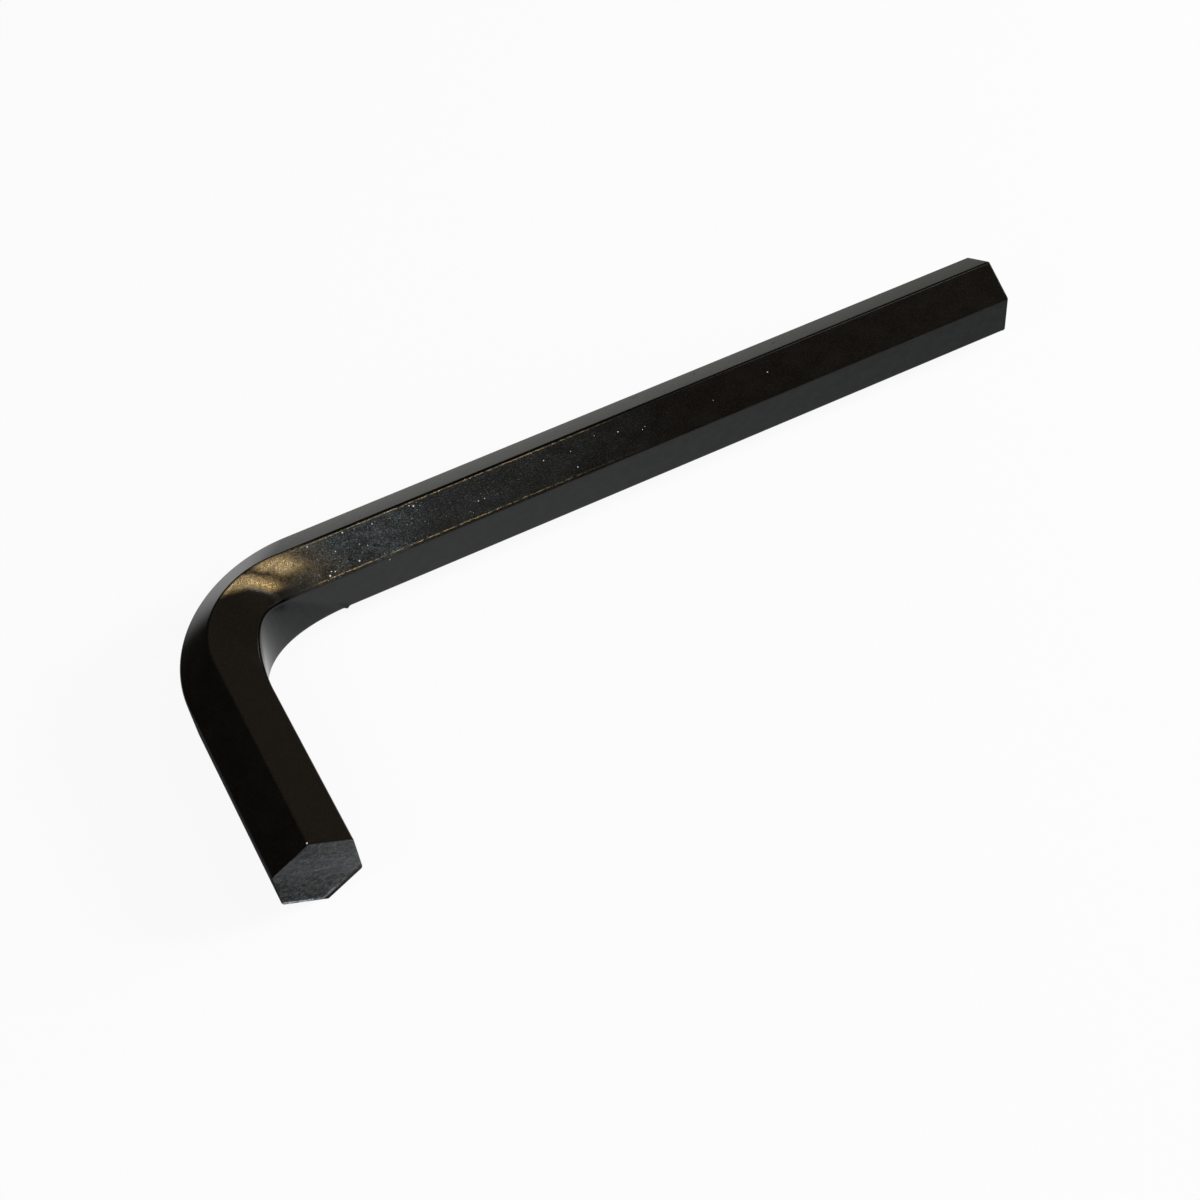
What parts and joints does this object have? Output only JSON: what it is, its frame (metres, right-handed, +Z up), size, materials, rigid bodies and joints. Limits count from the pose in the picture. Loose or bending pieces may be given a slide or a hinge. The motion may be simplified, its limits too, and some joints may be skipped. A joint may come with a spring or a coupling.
{
  "type": "hex key",
  "caption": "L-shaped hex key: one black hexagonal steel bar bent near a right angle, with a long and a short arm and plain sheared ends.",
  "frame": {"origin": "on the surface that the key lies on, under the middle of its box", "axes": "+X along the long arm, from the bend to its tip; +Z up, square to the flat L that the key lies in; the short arm points along -Y, one and a half degrees towards +X"},
  "size_m": [0.0976, 0.0376, 0.0091],
  "materials": {
    "black_steel": "black oxide, semi-gloss, with fine drawing lines, dust and edges worn towards bronze"
  },
  "bodies": {
    "root": {"hex_key": "black_steel"}
  },
  "joints": []
}
